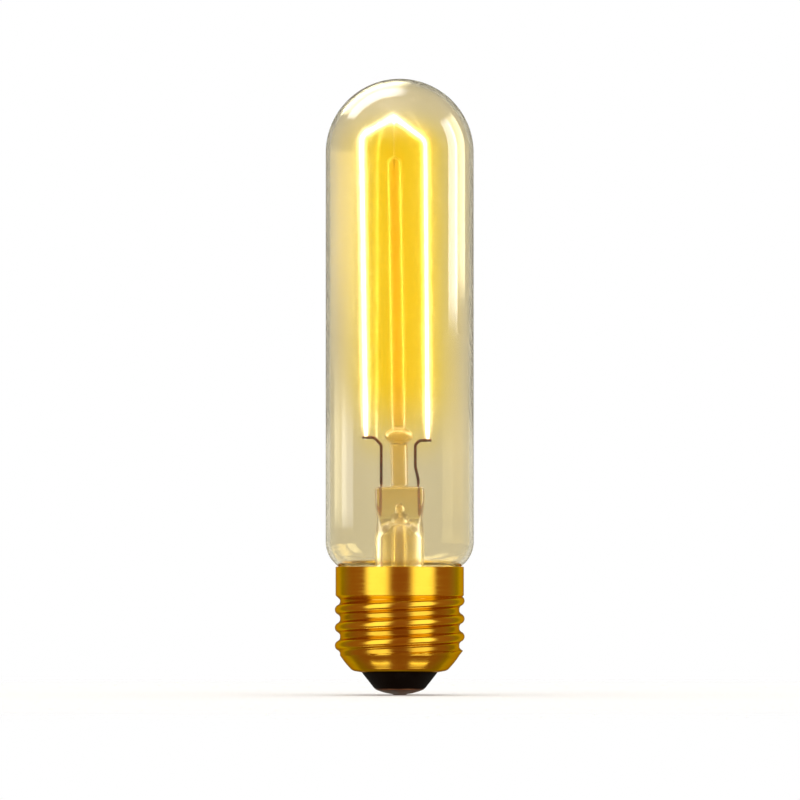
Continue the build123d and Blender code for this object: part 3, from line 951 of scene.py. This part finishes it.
def contactMesh():
    s = contact
    rise = s["edgeHeight"] - s["low"]
    ball = (s["radius"] ** 2 + rise**2) / (2 * rise)
    start = math.degrees(math.asin(s["eyeletBore"] / ball))
    end = math.degrees(math.asin(s["radius"] / ball))
    dome = arcPoints((0, s["low"] + ball), ball, start - 90, end - 90, 14)
    top = insulator["tip"][1] - s["seatGap"]
    rim = (s["radius"], top)
    outline = dome[:-1] + roundedCorner(dome[-2], dome[-1], rim, s["edgeRounding"]) + [rim]
    outline += [(s["eyeletRadius"], top), (s["eyeletRadius"], s["eyeletTop"])]
    outline += [(s["eyeletBore"], s["eyeletTop"])]
    mesh = turnedMesh("domedContact", outline, s["steps"], closed=True)
    sharpen(mesh, s["sharpAngle"])
    return mesh


solder = {
    "radius": 1.5,
    "rise": 0.128,
    "roundness": 0.97,
    "shoulder": (1.4, 0.16),
    "plugRadius": 0.84,
    "plugEnds": (0.12, 1.19),
    "ripple": 0.05,
    "rippleScale": 1400,
    "steps": 48,
}


def solderMesh():
    s = solder
    low, high = s["plugEnds"]
    outline = []
    for k in range(13):  # mound, flat in the middle
        t = k / 12
        outline.append((s["radius"] * t, s["rise"] * (1 - math.sqrt(1 - (s["roundness"] * t) ** 2))))
    outline += [s["shoulder"], (s["plugRadius"], low), (s["plugRadius"], high), (0, high)]
    mesh = turnedMesh("solderMound", outline, s["steps"])
    for vertex in mesh.vertices:  # uneven, as it froze
        swell = 1 + s["ripple"] * (noise.noise(vertex.co * s["rippleScale"]) - 0.5)
        vertex.co.x *= swell
        vertex.co.y *= swell
    return mesh


addPiece("blackInsulator", insulatorMesh(), blackGlass, ["insulator"])
addPiece("domedContact", contactMesh(), contactMetal, ["centre_contact"])
addPiece("solderMound", solderMesh(), solderMetal, ["centre_solder"])
print("foot of the cap made")


# pieces whose solids are right as they are
finishes = {
    "filament_hook": hookWire,
    "inner_lead_left": leadWire,
    "inner_lead_right": leadWire,
    "press_seal_left": copperWire,
    "press_seal_right": copperWire,
    "outer_lead_centre": copperWire,
    "outer_lead_side": copperWire,
    "side_solder": solderMetal,
    "cap_cement": cementFill,
}
for name, material in finishes.items():
    for slot in nodes[name].material_slots:
        slot.material = material
print("wires and cement finished")


# studio: white room, pale floor, soft lamps
studio = {
    "floorSize": 0.9,
    "floorFade": (0.10, 0.40),
    "floorColour": (0.93, 0.925, 0.91, 1),
    "floorRoughness": 0.8,
    "overheadSize": 1.4,
    "overheadHeight": 0.8,
    "overheadLevel": 1.2,
    "fill": 0.62,
    "front": (0.30, 0.10, 0.05, 1),  # what polish shows ahead, beside and behind
    "side": (0.34, 0.14, 0.06, 1),
    "back": (0.31, 0.29, 0.24, 1),
    "frontTurn": (-0.95, -0.25),  # where each of them gives way to the next
    "backTurn": (0.05, 0.75),
    "aside": 0.68,  # what glass shows at the sides
    "asideTurn": (0.2, 0.85),
    "lampDistance": 0.6,
    "lampAim": (0, 0, 0.11),
}


def makeFloor():
    s = studio
    material, tree, paint = newMaterial("paleFloor")
    x, y = axes(tree, objectPlace(tree))[:2]
    fade = mapRange(tree, fromAxis(tree, x, y), *s["floorFade"])
    setInputs(paint, Base_Color=s["floorColour"], Roughness=s["floorRoughness"])
    clear = addNode(tree, "ShaderNodeBsdfTransparent")
    showSurface(tree, mixShaders(tree, fade, paint.outputs[0], clear.outputs[0]))
    mesh = turnedMesh("paleFloor", [(0, 0), (s["floorSize"] / 2 / mm, 0)], 64)
    floor = bpy.data.objects.new("paleFloor", mesh)
    mesh.materials.append(material)
    floor.visible_glossy = False  # polish shows the dim room under it
    bpy.context.scene.collection.objects.link(floor)


def makeRoom():
    # white behind everything that is looked at or looked through, dimmer for polish and fill
    s = studio
    world = bpy.data.worlds.new("whiteRoom")
    bpy.context.scene.world = world
    world.use_nodes = True
    tree = world.node_tree
    tree.nodes.clear()
    path = addNode(tree, "ShaderNodeLightPath")
    depth = axes(tree, addNode(tree, "ShaderNodeTexCoord").outputs["Generated"])[1]
    ahead = blendColours(tree, mapRange(tree, depth, *s["frontTurn"]), s["front"], s["side"])
    polish = blendColours(tree, mapRange(tree, depth, *s["backTurn"]), ahead, s["back"])
    through = mapRange(tree, calc(tree, "ABSOLUTE", depth), *s["asideTurn"], s["aside"], 1.0)
    colour = (s["fill"],) * 3 + (1,)
    views = {"Is Glossy Ray": polish, "Is Transmission Ray": through, "Is Camera Ray": (1, 1, 1, 1)}
    for ray, seen in views.items():
        colour = blendColours(tree, path.outputs[ray], colour, seen)
    background = setInputs(addNode(tree, "ShaderNodeBackground"), Strength=1.0)
    tree.links.new(colour, background.inputs["Color"])
    tree.links.new(background.outputs[0], addNode(tree, "ShaderNodeOutputWorld").inputs["Surface"])


lampTargets = {
    "glass": ["blownEnvelope"],
    "stem": ["pinchedStem", "tippedExhaust", "leaningRod"],
    "metal": ["threadedShell", "domedContact", "solderMound", "side_solder"],
    "floor": ["paleFloor"],
}


def ringPlace(azimuth, height):
    # on the ring of lamps, from the camera round to its right
    turn = math.radians(azimuth)
    return Vector((math.sin(turn), -math.cos(turn), 0)) * studio["lampDistance"] + Vector((0, 0, height))


def upright(azimuth, low, high):
    return ringPlace(azimuth, low), ringPlace(azimuth, high)


def overCrown():
    # slopes up behind the bulb, from the left
    return Vector((-0.651, 0.194, 0.532)), Vector((0.134, 0.194, 0.874))


def underFoot(side):
    # lies below the cone of the foot, to the left (-1) or the right (1)
    return Vector((side * 0.116, -0.134, -0.6)), Vector((side * 0.412, 0.086, -0.6))


# each lamp: its two ends, width, level, softness (low end, high end, sides) and what it lights
lamps = {
    "stripRight": (upright(91, 0.0909, 0.62), 0.22, 12.0, (0.029, 0.3, 0.04), "glass"),
    "cardLeft": (upright(-89, 0.0337, 0.085), 0.3, 3.4, (0.235, 0.42, 0.15), "glass"),
    "boxTopLeft": (overCrown(), 0.31, 10.0, (0.15, 0.3, 0.2), "glass"),
    "stripStemRight": (upright(98, 0.0, 0.6), 0.3, 6.0, (0.02, 0.1, 0.1), "stem"),
    "stripStemLeft": (upright(-110, 0.0, 0.6), 0.3, 5.0, (0.02, 0.1, 0.1), "stem"),
    "boxFrontLeft": (upright(-41, -0.5, 0.8), 0.66, 1.55, (0.1, 0.1, 0.3), "metal"),
    "boxFrontRight": (upright(43, -0.5, 0.8), 0.66, 1.55, (0.1, 0.1, 0.3), "metal"),
    "boxRearLeft": (upright(-146, -0.5, 0.8), 0.5, 0.3, (0.1, 0.1, 0.4), "metal"),
    "boxRearRight": (upright(146, -0.5, 0.8), 0.5, 0.3, (0.1, 0.1, 0.4), "metal"),
    "cardFootLeft": (underFoot(-1), 0.1, 2.4, (0.2, 0.2, 0.3), "metal"),
    "cardFootRight": (underFoot(1), 0.1, 2.4, (0.2, 0.2, 0.3), "metal"),
}


def hangLamp(lamp, group, shaded):
    # lights some pieces, shaded by them alone or by everything
    lamp.visible_camera = False
    lamp.visible_transmission = False
    bpy.context.scene.collection.objects.link(lamp)
    chosen = bpy.data.collections.new(lamp.name + "Lights")
    for piece in lampTargets[group]:
        chosen.objects.link(bpy.data.objects[piece])
    lamp.light_linking.receiver_collection = chosen
    if not shaded:
        lamp.light_linking.blocker_collection = chosen


def addLamp(name, ends, width, level, soft, lights):
    bottom, top = ends
    low, high, sides = soft
    length = (top - bottom).length
    light = bpy.data.lights.new(name, "AREA")
    light.shape = "RECTANGLE"
    light.size, light.size_y = width, length
    light.energy = level * math.pi * width * length
    light.use_nodes = True
    tree = light.node_tree
    across, along = axes(tree, addNode(tree, "ShaderNodeNewGeometry").outputs["Parametric"])[:2]
    lengthwise = within(tree, along, (0.0, low), (1 - high, 1.0))
    crosswise = within(tree, across, (0.0, sides), (1 - sides, 1.0))
    tree.links.new(calc(tree, "MULTIPLY", lengthwise, crosswise), tree.nodes["Emission"].inputs["Strength"])
    lamp = bpy.data.objects.new(name, light)
    middle = (bottom + top) / 2
    rise = (top - bottom).normalized()
    back = middle - Vector(studio["lampAim"])
    back = (back - rise * back.dot(rise)).normalized()
    lamp.location = middle
    lamp.rotation_euler = Matrix((rise.cross(back), rise, back)).transposed().to_euler()
    hangLamp(lamp, lights, shaded=False)


def addOverhead():
    # broad soft top light for the floor
    s = studio
    light = bpy.data.lights.new("boxOverhead", "AREA")
    light.shape = "SQUARE"
    light.size = s["overheadSize"]
    light.energy = s["overheadLevel"] * math.pi * s["overheadSize"] ** 2
    lamp = bpy.data.objects.new("boxOverhead", light)
    lamp.location = (0, 0, s["overheadHeight"])
    lamp.visible_glossy = False
    hangLamp(lamp, "floor", shaded=True)


makeFloor()
makeRoom()
for name, settings in lamps.items():
    addLamp(name, *settings)
addOverhead()
print("studio lit")


# camera level with the cap and far off, as in the photograph
view = {
    "elevation": -1.5,
    "distance": 1.6,
    "target": (0.00006, 0.0, 0.0598),
    "frame": 0.16224,  # width of the picture at the bulb
    "sensor": 36.0,
}
cameraData = bpy.data.cameras.new("photoCamera")
camera = bpy.data.objects.new("photoCamera", cameraData)
bpy.context.scene.collection.objects.link(camera)
tilt = math.radians(view["elevation"])
offset = Vector((0, -math.cos(tilt), math.sin(tilt))) * view["distance"]
camera.location = Vector(view["target"]) + offset
camera.rotation_euler = (math.pi / 2 - tilt, 0, 0)
cameraData.sensor_width = view["sensor"]
cameraData.lens = view["sensor"] * view["distance"] / view["frame"]
cameraData.clip_start, cameraData.clip_end = 0.01, 20.0
scene = bpy.context.scene
scene.camera = camera
scene.view_settings.view_transform = "Standard"
scene.cycles.max_bounces = 24
scene.cycles.transmission_bounces = 24
scene.cycles.glossy_bounces = 8
scene.cycles.transparent_max_bounces = 32
scene.cycles.caustics_refractive = False
print("camera set")
